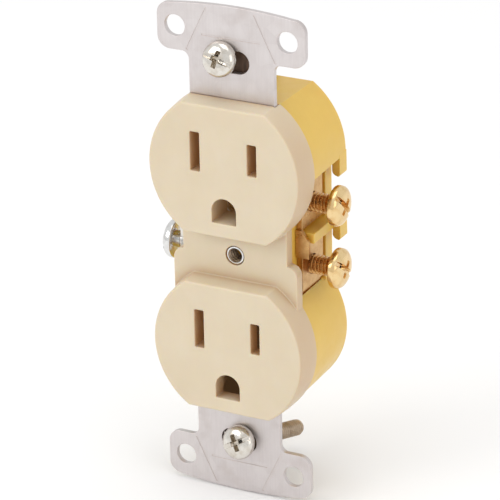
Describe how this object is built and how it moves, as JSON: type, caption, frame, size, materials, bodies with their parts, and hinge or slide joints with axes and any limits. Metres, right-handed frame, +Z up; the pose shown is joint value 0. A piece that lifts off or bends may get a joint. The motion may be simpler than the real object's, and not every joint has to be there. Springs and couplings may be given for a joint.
{
  "type": "duplex wall outlet",
  "caption": "Duplex grounding wall outlet on a plated strap: two raised ivory faces, yellow rear body, side terminal screws and slotted ears with box screws.",
  "frame": {"origin": "centre of the cover-screw bush's mouth, on the front plane of the strap's ears", "axes": "+Z up along the strap, +Y back into the wall box, +X right seen from the front"},
  "size_m": [0.0408, 0.0282, 0.1062],
  "materials": {
    "ivory_moulding": "satin",
    "yellow_moulding": "semi-gloss",
    "strap_steel": "galvanised",
    "nickel_bush": "bright nickel",
    "zinc_screw": "zinc plated",
    "nickel_screw": "bright nickel",
    "brass_screw": "polished",
    "green_screw": "green dyed zinc",
    "brass_strip": "stamped",
    "plated_strip": "tin plated",
    "spring_steel": "tempered",
    "rivet_brass": "plain",
    "dark_fibre": "pressed fibre"
  },
  "bodies": {
    "outlet": {"front_cover": "ivory_moulding", "rear_body": "yellow_moulding", "mounting_strap": "strap_steel", "cover_screw_bush": "nickel_bush", "hot_bus_bar": "brass_strip", "neutral_bus_bar": "plated_strip", "ground_contact_upper": "brass_strip", "ground_contact_lower": "brass_strip", "ground_contact_rivets": "rivet_brass", "assembly_screws": "zinc_screw", "hot_push_in_spring_lower": "spring_steel", "hot_push_in_spring_upper": "spring_steel", "neutral_push_in_spring_lower": "spring_steel", "neutral_push_in_spring_upper": "spring_steel"},
    "upper_retainer": {"upper_screw_retainer": "dark_fibre"},
    "upper_box_screw": {"upper_box_screw": "zinc_screw"},
    "lower_retainer": {"lower_screw_retainer": "dark_fibre"},
    "lower_box_screw": {"lower_box_screw": "zinc_screw"},
    "hot_screw_upper": {"hot_screw_upper": "brass_screw"},
    "hot_screw_lower": {"hot_screw_lower": "brass_screw"},
    "neutral_screw_upper": {"neutral_screw_upper": "nickel_screw"},
    "neutral_screw_lower": {"neutral_screw_lower": "nickel_screw"},
    "ground_screw": {"ground_screw": "green_screw"}
  },
  "joints": [
    {"name": "upper_slot_slide", "type": "slide", "parent": "outlet", "child": "upper_retainer", "axis": [1, 0, 0], "range_m": [-0.00015, 0.00365]},
    {"name": "upper_box_screw_turn", "type": "hinge", "parent": "upper_retainer", "child": "upper_box_screw", "pos_m": [-0.00175, -0.00109, 0.04236], "axis": [0, 0.9613, -0.2756], "continuous": true},
    {"name": "lower_slot_slide", "type": "slide", "parent": "outlet", "child": "lower_retainer", "axis": [1, 0, 0], "range_m": [-0.00283, 0.00097]},
    {"name": "lower_box_screw_turn", "type": "hinge", "parent": "lower_retainer", "child": "lower_box_screw", "pos_m": [0.0008, -0.00109, -0.04138], "axis": [0.0754, 0.9583, -0.2756], "continuous": true},
    {"name": "hot_screw_upper_tighten", "type": "slide", "parent": "outlet", "child": "hot_screw_upper", "axis": [-1, 0, 0], "range_m": [0, 0.00485]},
    {"name": "hot_screw_lower_tighten", "type": "slide", "parent": "outlet", "child": "hot_screw_lower", "axis": [-1, 0, 0], "range_m": [0, 0.00485]},
    {"name": "neutral_screw_upper_tighten", "type": "slide", "parent": "outlet", "child": "neutral_screw_upper", "axis": [1, 0, 0], "range_m": [0, 0.00485]},
    {"name": "neutral_screw_lower_tighten", "type": "slide", "parent": "outlet", "child": "neutral_screw_lower", "axis": [1, 0, 0], "range_m": [0, 0.00485]},
    {"name": "ground_screw_tighten", "type": "slide", "parent": "outlet", "child": "ground_screw", "axis": [1, 0, 0], "range_m": [0, 0.00485]}
  ]
}
